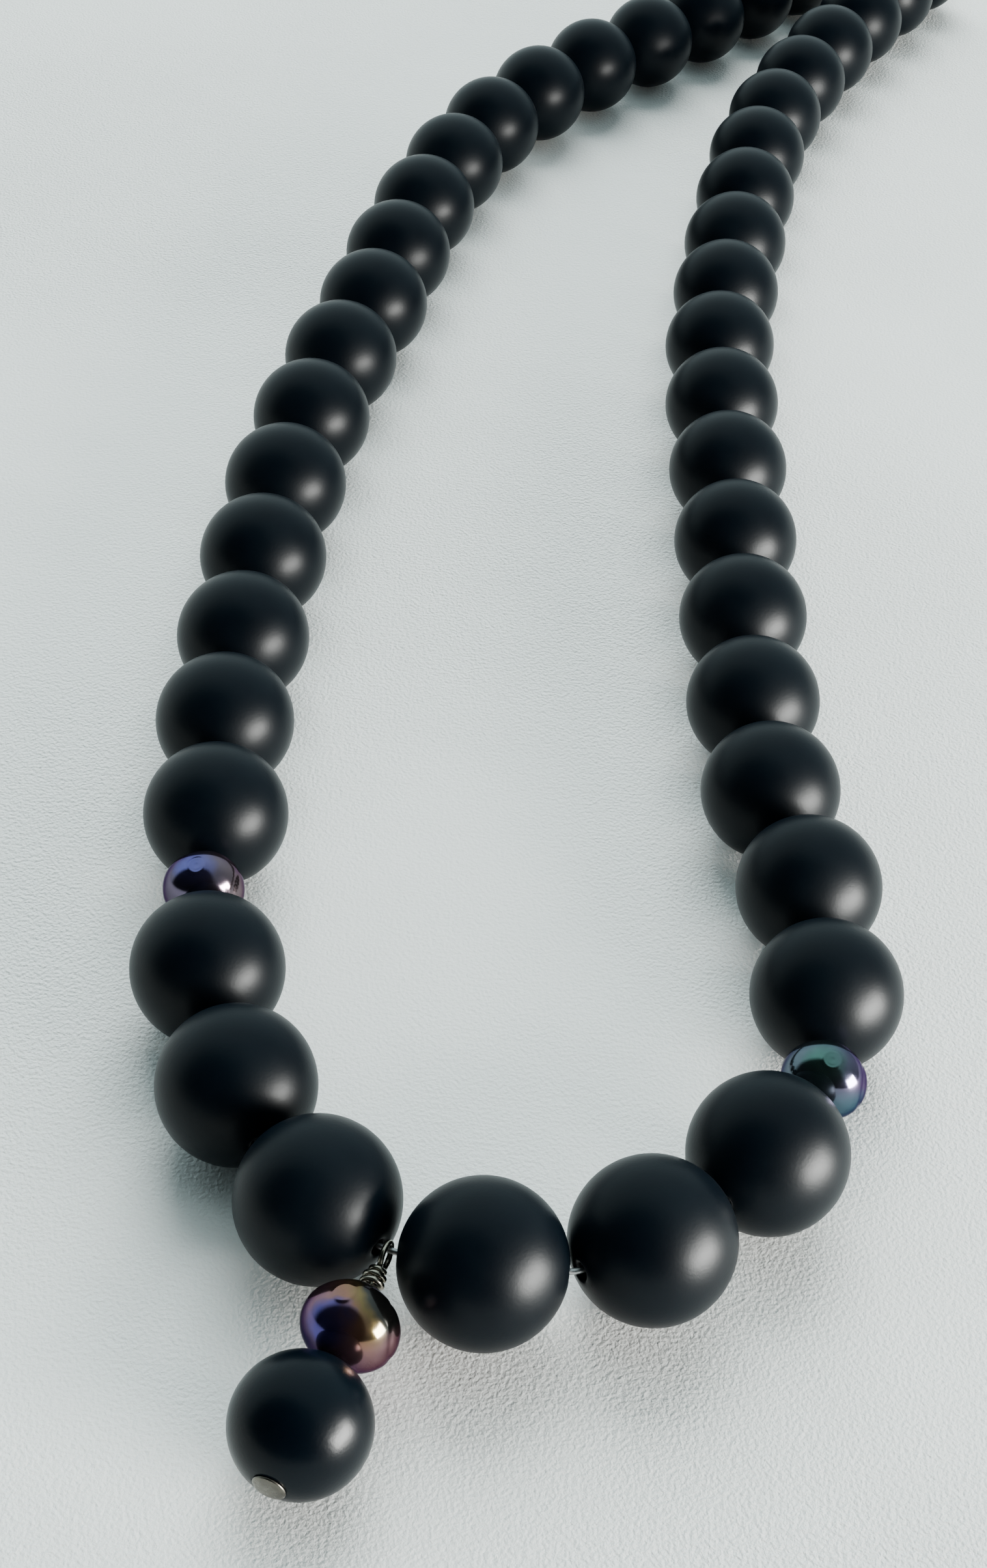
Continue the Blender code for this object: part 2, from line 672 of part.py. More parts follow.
def build_clasp(crossing, level, parent):
    """The lobster clasp, flat on the table, with its eye round the jump ring's wire."""
    height = CLASP_THICKNESS / 2
    frame = frame_matrix(crossing - level * CLASP_EYE_AT, level, UP.cross(level))
    turn = pivot("pivot_clasp", crossing, UP, parent)
    add_mesh_object("clasp_body", clasp_body_mesh(), SILVER, frame, turn)

    pin_world = frame @ Matrix.Translation((*LEVER_PIVOT, 0))
    pin = plate_mesh("clasp_pin", arc((0, 0), LEVER_PIN_RADIUS, 0, 330, 11), -height, height)
    add_mesh_object("clasp_pin", pin, SILVER, pin_world, turn)
    lever_axis = pivot("pivot_clasp_lever", pin_world.translation, -UP, turn)
    add_mesh_object("clasp_lever", lever_mesh(), SILVER, frame, lever_axis)
    add_mesh_object("clasp_spring", spring_mesh(), STEEL_WIRE, frame, turn)


def main():
    clear_scene()
    left, right, strand = lay_strand()
    last_pivots = build_stones(left, right)
    left_frame, right_frame = build_strand_wire(strand)
    build_crimp("crimp_left", left_frame, last_pivots["left"])
    build_crimp("crimp_right", right_frame, last_pivots["right"])
    build_drop(left, right)
    build_end_ring(left_frame, last_pivots["left"])
    crossing, level, ring_pivot = build_jump_ring(right_frame, last_pivots["right"])
    build_clasp(crossing, level, ring_pivot)


main()
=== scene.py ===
"""Looks of the bead necklace: matte stone beads, dyed pearls, a wire-wrapped drop and a clasp.

Every place comes from the frame: boxes of nodes and points of joints. Lengths are in metres.
Pieces are made where they lie, so each one's texture differs from its neighbour's.
"""

import json
import math

import bpy
from mathutils import Matrix, Vector

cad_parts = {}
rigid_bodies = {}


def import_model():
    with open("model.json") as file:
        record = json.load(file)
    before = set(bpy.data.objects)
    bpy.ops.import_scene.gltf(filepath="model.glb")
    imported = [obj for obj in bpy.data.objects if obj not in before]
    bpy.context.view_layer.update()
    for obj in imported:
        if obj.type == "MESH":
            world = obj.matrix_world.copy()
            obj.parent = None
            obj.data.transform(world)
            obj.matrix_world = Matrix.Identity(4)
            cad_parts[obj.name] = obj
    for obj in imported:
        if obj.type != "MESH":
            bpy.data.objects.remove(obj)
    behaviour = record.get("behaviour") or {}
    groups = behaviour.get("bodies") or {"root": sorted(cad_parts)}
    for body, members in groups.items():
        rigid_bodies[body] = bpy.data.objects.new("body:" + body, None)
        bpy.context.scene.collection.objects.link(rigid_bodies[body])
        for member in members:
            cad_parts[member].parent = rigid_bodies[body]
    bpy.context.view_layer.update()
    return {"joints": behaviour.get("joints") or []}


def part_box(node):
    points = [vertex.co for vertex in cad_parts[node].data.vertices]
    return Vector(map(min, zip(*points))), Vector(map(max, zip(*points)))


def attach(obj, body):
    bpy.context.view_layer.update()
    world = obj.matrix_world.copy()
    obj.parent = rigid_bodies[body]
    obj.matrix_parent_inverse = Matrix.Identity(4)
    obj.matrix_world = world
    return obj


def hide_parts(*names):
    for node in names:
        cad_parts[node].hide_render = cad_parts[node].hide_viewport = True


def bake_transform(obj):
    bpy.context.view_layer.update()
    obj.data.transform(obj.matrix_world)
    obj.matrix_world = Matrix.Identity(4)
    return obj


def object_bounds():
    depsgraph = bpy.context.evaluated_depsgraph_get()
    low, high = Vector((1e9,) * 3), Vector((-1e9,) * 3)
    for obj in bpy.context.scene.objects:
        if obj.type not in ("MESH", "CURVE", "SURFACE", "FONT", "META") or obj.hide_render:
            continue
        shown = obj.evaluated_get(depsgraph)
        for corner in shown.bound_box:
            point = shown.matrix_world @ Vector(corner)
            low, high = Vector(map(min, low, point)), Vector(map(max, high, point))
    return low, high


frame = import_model()

MM = 0.001
UP = Vector((0, 0, 1))

# Visible sizes of the stones and wires
BEAD_RADIUS = 4.95 * MM
DROP_BEAD_RADIUS = 3.97 * MM
SIDE_PEARL_RADIUS = 2.7 * MM
SIDE_PEARL_HALF_LENGTH = 2.1 * MM
DROP_PEARL_RADIUS = 2.86 * MM
DROP_PEARL_HALF_LENGTH = 2.35 * MM
HOLE_RADIUS = 0.45 * MM
HOLE_MOUTH = 0.3 * MM
DROP_HOLE_MOUTH = 0.5 * MM
PEARL_HOLE_MOUTH = 0.1 * MM
WIRE_RADIUS = 0.19 * MM
PIN_WIRE_RADIUS = 0.17 * MM

# How finely the turned stones are cut, along the profile and round it
BEAD_STEPS, BEAD_SEGMENTS = 40, 64
PEARL_STEPS, PEARL_SEGMENTS = 130, 200

JOINTS = {joint["name"]: joint for joint in frame["joints"]}
JOINT_OF_CHILD = {joint["child"]: joint for joint in frame["joints"]}


# ---------------------------------------------------------------- frame helpers

def centre_of(node):
    low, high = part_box(node)
    return (Vector(low) + Vector(high)) / 2


def joint_point(name):
    return Vector(JOINTS[name]["pos_m"])


def joint_axis(name):
    return Vector(JOINTS[name]["axis"]).normalized()


def frame_matrix(origin, x_axis, y_axis):
    """A placing matrix from an origin, an X axis and a rough Y axis."""
    x = x_axis.normalized()
    z = x.cross(y_axis).normalized()
    y = z.cross(x)
    return Matrix.Translation(origin) @ Matrix((x, y, z)).transposed().to_4x4()


def side_order(side):
    """Stones of one side from the drop outwards, read from the chain of joints."""
    names = (f"bead_{side}", f"pearl_{side}")
    order = []
    body = "centre"
    while True:
        following = [joint["child"] for joint in frame["joints"]
                     if joint["parent"] == body and joint["child"].startswith(names)]
        if not following:
            return order
        body = following[0]
        order.append(body)


# ---------------------------------------------------------------- mesh helpers

def mesh_object(name, verts, faces, look, body, sharp_angle):
    """A piece that rides a body, or none, shaded smooth except at edges sharper than the angle."""
    mesh = bpy.data.meshes.new(name)
    mesh.from_pydata([tuple(v) for v in verts], [], faces)
    mesh.validate()
    mesh.shade_smooth()
    mesh.set_sharp_from_angle(angle=math.radians(sharp_angle))
    mesh.materials.append(look)
    thing = bpy.data.objects.new(name, mesh)
    bpy.context.scene.collection.objects.link(thing)
    if body:
        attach(thing, body)
    return thing


def lathe(profile, segments, world):
    """A closed profile of (along X, radius) points turned about X, as verts and faces."""
    verts = []
    for step in range(segments):
        a = math.tau * step / segments
        for along, radius in profile:
            verts.append(world @ Vector((along, radius * math.cos(a), radius * math.sin(a))))
    count = len(profile)
    faces = []
    for step in range(segments):
        here = step * count
        there = (step + 1) % segments * count
        for i in range(count):
            j = (i + 1) % count
            faces.append((here + i, there + i, there + j, here + j))
    return verts, faces


def lathe_solid(profile, segments, world):
    """A turned solid whose first and last profile points lie on the axis."""
    verts = [world @ Vector((profile[0][0], 0, 0))]
    inner = profile[1:-1]
    count = len(inner)
    for step in range(segments):
        a = math.tau * step / segments
        for along, radius in inner:
            verts.append(world @ Vector((along, radius * math.cos(a), radius * math.sin(a))))
    verts.append(world @ Vector((profile[-1][0], 0, 0)))
    last = len(verts) - 1
    faces = []
    for step in range(segments):
        here = 1 + step * count
        there = 1 + (step + 1) % segments * count
        faces.append((0, there, here))
        faces.append((last, here + count - 1, there + count - 1))
        for i in range(count - 1):
            faces.append((here + i, there + i, there + i + 1, here + i + 1))
    return verts, faces


def sweep(points, radii, sides, closed=False):
    """A round tube along points. Radii is one radius, or one for each point."""
    points = [Vector(p) for p in points]
    count = len(points)
    if isinstance(radii, float):
        radii = [radii] * count
    tangents = []
    for i in range(count):
        if closed:
            tangents.append((points[(i + 1) % count] - points[i - 1]).normalized())
        else:
            tangents.append((points[min(i + 1, count - 1)] - points[max(i - 1, 0)]).normalized())
    # The normal is carried along from point to point, so that the tube never twists.
    normal = tangents[0].orthogonal().normalized()
    verts = []
    for point, tangent, size in zip(points, tangents, radii):
        normal = (normal - tangent * normal.dot(tangent)).normalized()
        binormal = tangent.cross(normal)
        for side in range(sides):
            a = math.tau * side / sides
            verts.append(point + normal * size * math.cos(a) + binormal * size * math.sin(a))
    faces = []
    rings = count if closed else count - 1
    for i in range(rings):
        here = i * sides
        there = (i + 1) % count * sides
        for side in range(sides):
            nxt = (side + 1) % sides
            faces.append((here + side, here + nxt, there + nxt, there + side))
    if not closed:
        faces.append(tuple(range(sides))[::-1])
        faces.append(tuple(range((count - 1) * sides, count * sides)))
    return verts, faces


def smooth_line(points, steps):
    """A dense line through given points, with a Bezier between each two."""
    points = [Vector(p) for p in points]
    last = len(points) - 1
    tangents = []
    for i in range(last + 1):
        tangents.append((points[min(i + 1, last)] - points[max(i - 1, 0)]).normalized())
    line = []
    for i in range(last):
        a, d = points[i], points[i + 1]
        reach = (d - a).length / 3
        b = a + tangents[i] * reach
        c = d - tangents[i + 1] * reach
        for step in range(steps):
            t = step / steps
            line.append(a * (1 - t) ** 3 + b * 3 * t * (1 - t) ** 2 + c * 3 * t * t * (1 - t) + d * t ** 3)
    line.append(points[-1])
    return line


def full_turn(count):
    return [math.tau * i / count for i in range(count)]


def on_circle(centre, x_axis, y_axis, radius, angles):
    return [centre + x_axis * radius * math.cos(a) + y_axis * radius * math.sin(a) for a in angles]


def arc(centre, radius, start_deg, end_deg, steps):
    angles = [math.radians(start_deg + (end_deg - start_deg) * i / steps) for i in range(steps + 1)]
    return [(centre[0] + radius * math.cos(a), centre[1] + radius * math.sin(a)) for a in angles]


def in_mm(points):
    return [(x * MM, y * MM) for x, y in points]


def flat_line(points):
    """Points given in millimetres on the piece's own middle plane, as a smooth line's input."""
    return [(x * MM, y * MM, 0) for x, y in points]


def without_repeats(outline):
    """Leaves out the points that lie on the point before them."""
    least = 1e-6
    return [point for i, point in enumerate(outline)
            if (Vector(point) - Vector(outline[i - 1])).length > least]


def eased_plate(outline, low, high, ease, world):
    """A plate with rounded edges: the outline drawn in a little near each face."""
    count = len(outline)
    normals = []
    for i in range(count):
        before, after = Vector(outline[i - 1]), Vector(outline[(i + 1) % count])
        way = (after - before).normalized()
        normals.append(Vector((way.y, -way.x)))
    steps = 4
    layers = []
    for i in range(steps + 1):
        a = math.pi / 2 * i / steps
        layers.append((low + ease * (1 - math.sin(a)), ease * (1 - math.cos(a))))
    layers = layers[::-1] + [(low + high - z, inset) for z, inset in layers]
    verts = []
    for z, inset in layers:
        for point, normal in zip(outline, normals):
            moved = Vector(point) - normal * inset
            verts.append(world @ Vector((moved.x, moved.y, z)))
    faces = [tuple(range(count))[::-1]]
    for layer in range(len(layers) - 1):
        here, there = layer * count, (layer + 1) * count
        for i in range(count):
            j = (i + 1) % count
            faces.append((here + i, here + j, there + j, there + i))
    faces.append(tuple(range((len(layers) - 1) * count, len(layers) * count)))
    return verts, faces


def joined(parts):
    verts, faces = [], []
    for some_verts, some_faces in parts:
        shift = len(verts)
        verts += some_verts
        faces += [tuple(i + shift for i in face) for face in some_faces]
    return verts, faces


def drilled_profile(half_length, radius, mouth, steps, fullness=2.0):
    """Outside of a drilled bead or pearl from hole to hole, with eased hole mouths.

    A fullness of 2 is an ellipse, and more is squarer.
    """
    edge_angle = math.asin((HOLE_RADIUS + mouth) / radius)
    outside = []
    for i in range(steps + 1):
        a = edge_angle + (math.pi - 2 * edge_angle) * i / steps
        c, s = -math.cos(a), math.sin(a)
        along = half_length * math.copysign(abs(c) ** (2 / fullness), c)
        outside.append((along, radius * s ** (2 / fullness)))
    first = outside[0][0]
    inset = mouth * 0.8
    left = [(first + inset, HOLE_RADIUS), (first + inset * 0.3, HOLE_RADIUS + mouth * 0.35)]
    right = [(-x, r) for x, r in left[::-1]]
    return left + outside + right


# ---------------------------------------------------------------- materials

# The Mix node has a set of sockets for each kind of data. These are the colour ones.
MIX_A, MIX_B, MIX_RESULT = 6, 7, 2


class NodeKit:
    """Short ways to add nodes to one tree."""

    def __init__(self, tree):
        self.nodes = tree.nodes
        self.links = tree.links

    def put(self, value, socket):
        """Sets a number or a colour on a socket, or links another node's output to it."""
        if isinstance(value, (int, float)):
            socket.default_value = value
        elif isinstance(value, tuple):
            socket.default_value = (*value, 1)
        else:
            self.links.new(value, socket)

    def object_space(self):
        return self.nodes.new("ShaderNodeTexCoord").outputs["Object"]

    def noise(self, vector, scale, detail):
        node = self.nodes.new("ShaderNodeTexNoise")
        node.inputs["Scale"].default_value = scale
        node.inputs["Detail"].default_value = detail
        self.links.new(vector, node.inputs["Vector"])
        return node.outputs["Fac"]

    def cells(self, vector, scale):
        """Distance to the nearest cell's centre, and a colour drawn for each cell."""
        node = self.nodes.new("ShaderNodeTexVoronoi")
        node.inputs["Scale"].default_value = scale
        self.links.new(vector, node.inputs["Vector"])
        return node.outputs["Distance"], node.outputs["Color"]

    def ramp(self, factor, stops):
        node = self.nodes.new("ShaderNodeValToRGB")
        elements = node.color_ramp.elements
        while len(elements) < len(stops):
            elements.new(0.5)
        for element, (position, colour) in zip(elements, stops):
            element.position = position
            element.color = (*colour, 1)
        self.links.new(factor, node.inputs["Fac"])
        return node.outputs["Color"]

    def remap(self, value, source, target):
        """Carries one range of values over to another, and holds at its ends."""
        node = self.nodes.new("ShaderNodeMapRange")
        node.inputs["From Min"].default_value = source[0]
        node.inputs["From Max"].default_value = source[1]
        node.inputs["To Min"].default_value = target[0]
        node.inputs["To Max"].default_value = target[1]
        self.links.new(value, node.inputs["Value"])
        return node.outputs["Result"]

    def combine(self, operation, a, b):
        node = self.nodes.new("ShaderNodeMath")
        node.operation = operation
        self.put(a, node.inputs[0])
        self.put(b, node.inputs[1])
        return node.outputs[0]

    def mix(self, factor, a, b, blend="MIX"):
        node = self.nodes.new("ShaderNodeMix")
        node.data_type = "RGBA"
        node.blend_type = blend
        self.put(factor, node.inputs["Factor"])
        self.put(a, node.inputs[MIX_A])
        self.put(b, node.inputs[MIX_B])
        return node.outputs[MIX_RESULT]

    def bump(self, height, strength, distance):
        node = self.nodes.new("ShaderNodeBump")
        node.inputs["Strength"].default_value = strength
        node.inputs["Distance"].default_value = distance
        self.links.new(height, node.inputs["Height"])
        return node.outputs["Normal"]

    def vector_node(self, operation, vector, fixed=None):
        """A vector calculation, whose second input, where it has one, is a fixed vector."""
        node = self.nodes.new("ShaderNodeVectorMath")
        node.operation = operation
        self.links.new(vector, node.inputs[0])
        if fixed is not None:
            node.inputs[1].default_value = fixed
        return node

    def directed(self, unit, direction):
        """How far a unit vector points along a direction, from -1 to 1."""
        return self.vector_node("DOT_PRODUCT", unit, Vector(direction).normalized()).outputs["Value"]


def new_material(name):
    """A new material, its node kit and the inputs of its shader."""
    made = bpy.data.materials.new(name)
    made.use_nodes = True
    kit = NodeKit(made.node_tree)
    return made, kit, kit.nodes["Principled BSDF"].inputs


def black_stone(name, roughness):
    """Near-black stone with a blasted surface, rubbed smoother in patches, with dust specks."""
    made, kit, shader = new_material(name)
    place = kit.object_space()
    cloud = kit.noise(place, scale=260, detail=3)
    grain = kit.noise(place, scale=5200, detail=2)
    distance, cell_colour = kit.cells(place, scale=480)
    tone = kit.ramp(cloud, [(0.3, (0.0003, 0.0017, 0.0038)), (0.72, (0.0008, 0.0030, 0.0055))])
    small = kit.remap(distance, (0.02, 0.035), (1, 0))
    chosen = kit.remap(cell_colour, (0.93, 0.94), (0, 1))
    speck = kit.combine("MULTIPLY", small, chosen)
    dust = (0.16, 0.17, 0.18)
    kit.put(kit.mix(speck, tone, dust), shader["Base Color"])
    polish = kit.remap(cloud, (0.3, 0.7), (roughness * 0.93, roughness * 1.07))
    kit.put(polish, shader["Roughness"])
    kit.put(kit.bump(grain, strength=0.12, distance=0.00004), shader["Normal"])
    shader["Specular IOR Level"].default_value = 0.10
    return made


def nacre(name, centre, across, stops, patches):
    """Dyed pearl: a metal-like lustre whose hue drifts across it, with tinted patches. The stops can also
    hold painted reflection, as the drop pearl's dark edge does.
    """
    made, kit, shader = new_material(name)
    place = kit.object_space()
    away = kit.vector_node("SUBTRACT", place, centre).outputs[0]
    unit = kit.vector_node("NORMALIZE", away).outputs[0]
    swirl = kit.remap(kit.noise(unit, scale=1.6, detail=2), (0.3, 0.7), (-0.12, 0.12))
    position = kit.combine("ADD", kit.directed(unit, across), swirl)
    colour = kit.ramp(kit.remap(position, (-1, 1), (0, 1)), stops)
    for direction, low, high, tint in patches:
        wander = kit.combine("MULTIPLY", swirl, 0.4)
        amount = kit.combine("ADD", kit.directed(unit, direction), wander)
        colour = kit.mix(kit.remap(amount, (low, high), (0, 1)), colour, tint)
    cloud = kit.noise(place, scale=1500, detail=3)
    shade = kit.ramp(cloud, [(0.3, (0.86, 0.86, 0.86)), (0.7, (1, 1, 1))])
    kit.put(kit.mix(1, colour, shade, "MULTIPLY"), shader["Base Color"])
    ripple = kit.noise(place, scale=700, detail=1)
    kit.put(kit.bump(ripple, strength=0.5, distance=0.00003), shader["Normal"])
    roughness = 0.12
    polish = kit.remap(cloud, (0.3, 0.7), (roughness * 0.85, roughness * 1.3))
    kit.put(polish, shader["Roughness"])
    shader["Metallic"].default_value = 0.95
    shader["Specular Tint"].default_value = (0.30, 0.26, 0.34, 1)
    shader["Coat Weight"].default_value = 0.08
    shader["Coat Roughness"].default_value = 0.06
    shader["Coat IOR"].default_value = 1.4
    return made


def metal(name, bright, dark, roughness):
    """Polished metal with drawing marks, tarnish in patches and a changing polish."""
    made, kit, shader = new_material(name)
    place = kit.object_space()
    tarnish = kit.noise(place, scale=850, detail=4)
    marks = kit.noise(place, scale=2600, detail=3)
    kit.put(kit.ramp(tarnish, [(0.36, dark), (0.62, bright)]), shader["Base Color"])
    polish = kit.remap(marks, (0.3, 0.7), (roughness * 0.75, roughness * 1.3))
    kit.put(polish, shader["Roughness"])
    kit.put(kit.bump(marks, strength=0.25, distance=0.00003), shader["Normal"])
    shader["Metallic"].default_value = 1.0
    return made


def paper():
    """The pale sheet underneath, with a fibre grain that is stronger in some parts."""
    made, kit, shader = new_material("look_paper")
    place = kit.object_space()
    fibre = kit.noise(place, scale=3900, detail=3)
    patch = kit.noise(place, scale=14, detail=1)
    cloud = kit.noise(place, scale=55, detail=3)
    tone = kit.ramp(cloud, [(0.3, (0.80, 0.835, 0.82)), (0.7, (0.84, 0.875, 0.86))])
    kit.put(tone, shader["Base Color"])
    amount = kit.remap(patch, (0.4, 0.62), (0.35, 1))
    raised = kit.combine("MULTIPLY", fibre, amount)
    kit.put(kit.bump(raised, strength=0.8, distance=0.0004), shader["Normal"])
    shader["Roughness"].default_value = 0.85
    shader["Specular IOR Level"].default_value = 0.15
    return made


STONE = black_stone("look_matte_stone", 0.39)
DROP_STONE = black_stone("look_drop_stone", 0.29)
SILVER = metal("look_silver", (0.60, 0.57, 0.51), (0.34, 0.32, 0.28), 0.22)
PIN_METAL = metal("look_pin_metal", (0.42, 0.39, 0.32), (0.17, 0.155, 0.125), 0.25)
# The pin head is the pin's own metal made darker: painted shade on its flat face, not a different metal.
PIN_HEAD_SHADED_METAL = metal("look_pin_head_metal_painted_shade", (0.20, 0.185, 0.155), (0.11, 0.10, 0.085), 0.3)
CABLE = metal("look_cable", (0.55, 0.56, 0.57), (0.38, 0.38, 0.38), 0.38)


def add_silver(name, verts, faces, body, node, sharp_angle=40):
    piece = mesh_object(name, verts, faces, SILVER, body, sharp_angle)
    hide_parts(node)


def add_wire(name, points, body=None):
    verts, faces = sweep(points, WIRE_RADIUS, 10)
    piece = mesh_object(name, verts, faces, CABLE, body, sharp_angle=60)
    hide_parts("strand_wire")
    return piece


# ---------------------------------------------------------------- beads and pearls

def make_bead(node, centre, along, radius, body, mouth=HOLE_MOUTH, look=STONE):
    profile = drilled_profile(radius, radius, mouth, BEAD_STEPS)
    verts, faces = lathe(profile, BEAD_SEGMENTS, frame_matrix(centre, along, UP.cross(along)))
    bead = mesh_object(f"look_{node}", verts, faces, look, body, sharp_angle=60)
    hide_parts(node)


# Each pearl's colours run through the stops along "across", from one side of the pearl to the other.
# A patch is a direction from the pearl's centre, how near to it the tint begins and is full, and the
# tint. The dimple is the direction of a ringed pit.
PEARLS = {
    "pearl_left": {
        "material": "look_pearl_violet",
        "slot": "pearl_violet",
        "half_length": SIDE_PEARL_HALF_LENGTH,
        "radius": SIDE_PEARL_RADIUS,
        "fullness": 2.15,
        "dimple": (-0.14, -0.20, 0.97),
        "across": (0.85, 0.1, 0.3),
        "stops": [
            (0.0, (0.10, 0.080, 0.110)),
            (0.3, (0.105, 0.085, 0.13)),
            (0.55, (0.10, 0.088, 0.14)),
            (0.8, (0.115, 0.090, 0.12)),
            (1.0, (0.15, 0.11, 0.12)),
        ],
        "patches": [((-0.2, -0.25, 0.95), 0.80, 0.98, (0.090, 0.085, 0.24))],
    },
    "pearl_right": {
        "material": "look_pearl_teal",
        "slot": "pearl_blue",
        "half_length": SIDE_PEARL_HALF_LENGTH,
        "radius": SIDE_PEARL_RADIUS,
        "fullness": 2.15,
        "dimple": (0.03, -0.24, 0.97),
        "across": (0.85, -0.2, 0.2),
        "stops": [
            (0.0, (0.10, 0.12, 0.15)),
            (0.3, (0.085, 0.11, 0.13)),
            (0.5, (0.065, 0.105, 0.115)),
            (0.72, (0.080, 0.095, 0.13)),
            (1.0, (0.095, 0.070, 0.13)),
        ],
        "patches": [
            ((-0.12, -0.30, 0.94), 0.84, 0.98, (0.060, 0.13, 0.115)),
            ((0.5, -0.8, -0.2), 0.75, 0.98, (0.060, 0.11, 0.14)),
        ],
    },
    "pearl_drop": {
        "material": "look_pearl_rose",
        "slot": "pearl_rose",
        "half_length": DROP_PEARL_HALF_LENGTH,
        "radius": DROP_PEARL_RADIUS,
        "fullness": 2.05,
        "dimple": (-0.15, 0.10, 0.98),
        "across": (0.80, 0.38, 0.46),
        "stops": [
            (0.0, (0.050, 0.040, 0.080)),
            (0.25, (0.13, 0.080, 0.13)),
            (0.50, (0.18, 0.095, 0.115)),
            (0.66, (0.19, 0.100, 0.070)),
            (0.76, (0.15, 0.110, 0.050)),
            # The last two stops are a painted reflection: the dark band at the pearl's edge mirrors the
            # dark bead beside it.
            (0.84, (0.050, 0.050, 0.045)),
            (1.0, (0.020, 0.022, 0.024)),
        ],
        "patches": [
            ((-0.50, -0.55, 0.68), 0.84, 0.97, (0.060, 0.050, 0.18)),
            ((-0.15, -0.35, 0.92), 0.92, 0.98, (0.08, 0.06, 0.17)),
            ((0.75, -0.55, -0.15), 0.72, 0.95, (0.20, 0.11, 0.12)),
        ],
    },
}

# Relief of the pearls, as shares of the distance from the centre
SWELL, SWELL_WAVE, SWELL_PHASE = 0.018, 4.2, 0.6
GROOVE_AT, GROOVE_WIDTH, GROOVE_DEPTH = 0.83, 0.05, 0.015
RING_DEG, RING_WIDTH_DEG, RING_HEIGHT = 12, 2.6, 0.014
PIT_WIDTH_DEG, PIT_DEPTH = 6, 0.018


def hump(value, middle, width):
    """1 at the middle, falling to 0 on both sides."""
    return math.exp(-((value - middle) / width) ** 2)


def make_pearl(node, centre, along):
    """A button pearl, a little out of round, with a groove round its right side and a ringed dimple."""
    pearl = PEARLS[node]
    look = nacre(pearl["material"], centre, pearl["across"], pearl["stops"], pearl["patches"])
    profile = drilled_profile(pearl["half_length"], pearl["radius"], PEARL_HOLE_MOUTH, PEARL_STEPS,
                              pearl["fullness"])
    verts, faces = lathe(profile, PEARL_SEGMENTS, frame_matrix(Vector(), along, UP.cross(along)))
    dimple = Vector(pearl["dimple"]).normalized()
    shaped = []
    for vert in verts:
        direction = vert.normalized()
        angle = math.degrees(direction.angle(dimple))
        swell = 1 + SWELL * math.sin(SWELL_WAVE * direction.x + SWELL_PHASE) * direction.z
        groove = GROOVE_DEPTH * hump(direction.x, GROOVE_AT, GROOVE_WIDTH)
        ring = RING_HEIGHT * hump(angle, RING_DEG, RING_WIDTH_DEG)
        pit = PIT_DEPTH * hump(angle, 0, PIT_WIDTH_DEG)
        shaped.append(centre + vert * (swell - groove + ring - pit))
    piece = mesh_object(f"look_{node}", shaped, faces, look, node, sharp_angle=60)
    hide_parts(node)


# ---------------------------------------------------------------- strand

LEFT = side_order("left")
RIGHT = side_order("right")
STRAND = LEFT[::-1] + ["bead_right_01"] + RIGHT
FIRST = len(LEFT)

# The wire runs straight for this share of the way from a stone's centre to the gap beside it.
STRAIGHT_SHARE = 0.7


def body_of_stone(stone):
    return "centre" if stone == "bead_right_01" else stone


def gap_after(index):
    """The point where the wire crosses from one stone to the next along the strand."""
    outer = STRAND[index] if index < FIRST else STRAND[index + 1]
    return Vector(JOINT_OF_CHILD[outer]["pos_m"])


def hole_line(index):
    """Centre of a stone and the direction of its hole along the strand."""
    centre = centre_of(STRAND[index])
    before = gap_after(index - 1) if index > 0 else None
    after = gap_after(index) if index < len(STRAND) - 1 else None
    if before is None:
        before = centre * 2 - after
    if after is None:
        after = centre * 2 - before
    along = after - before
    along.z = 0
    return centre, along.normalized()


def build_strand():
    for index, stone in enumerate(STRAND):
        centre, along = hole_line(index)
        if stone in PEARLS:
            make_pearl(stone, centre, along)
        else:
            make_bead(stone, centre, along, BEAD_RADIUS, body_of_stone(stone))


def build_gap_wires():
    """One stretch of stringing wire for each gap, from stone to stone, bending at the joint's point there.
    """
    for index in range(len(STRAND) - 1):
        centre_a, along_a = hole_line(index)
        centre_b, along_b = hole_line(index + 1)
        middle = gap_after(index)
        reach_a = (middle - centre_a).length
        reach_b = (middle - centre_b).length
        points = smooth_line([
            centre_a,
            centre_a + along_a * reach_a * STRAIGHT_SHARE,
            middle,
            centre_b - along_b * reach_b * STRAIGHT_SHARE,
            centre_b,
        ], 6)
        piece = add_wire(f"look_wire_{index:02d}", points)
        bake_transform(piece)


# ---------------------------------------------------------------- ends of the strand

# Along the crimp, from the last stone outwards
CRIMP_START = 0.35 * MM
CRIMP_LENGTH = 2.0 * MM
CRIMP_END = CRIMP_START + CRIMP_LENGTH
LOOP_START = 3.3 * MM
LOOP_CENTRE = 4.6 * MM

CRIMP_RADIUS = 0.9 * MM
CRIMP_BORE = 0.6 * MM
CRIMP_EASE = 0.12 * MM
END_SLOPE = math.radians(20)
WIRE_ASIDE = 0.24 * MM
LOOP_RADIUS = 1.0 * MM
LOOP_SHOULDER = LOOP_RADIUS * 0.7

END_RING_RADIUS = 2.55 * MM
END_RING_WIRE = 0.45 * MM
JUMP_RING_RADIUS = 1.9 * MM
JUMP_RING_WIRE = 0.3 * MM
JUMP_RING_CUT_AT = math.radians(75)
JUMP_RING_HALF_CUT = math.radians(2.5)
RING_STEPS = 72


def end_frame(index, way, crimp):
    """X along the crimp, which slopes down from the last hole, and Y level, from where it starts."""
    level = hole_line(index)[1] * way
    along = level * math.cos(END_SLOPE) - UP * math.sin(END_SLOPE)
    origin = centre_of(crimp) - along * (CRIMP_START + CRIMP_LENGTH / 2)
    return frame_matrix(origin, along, UP.cross(level)), level


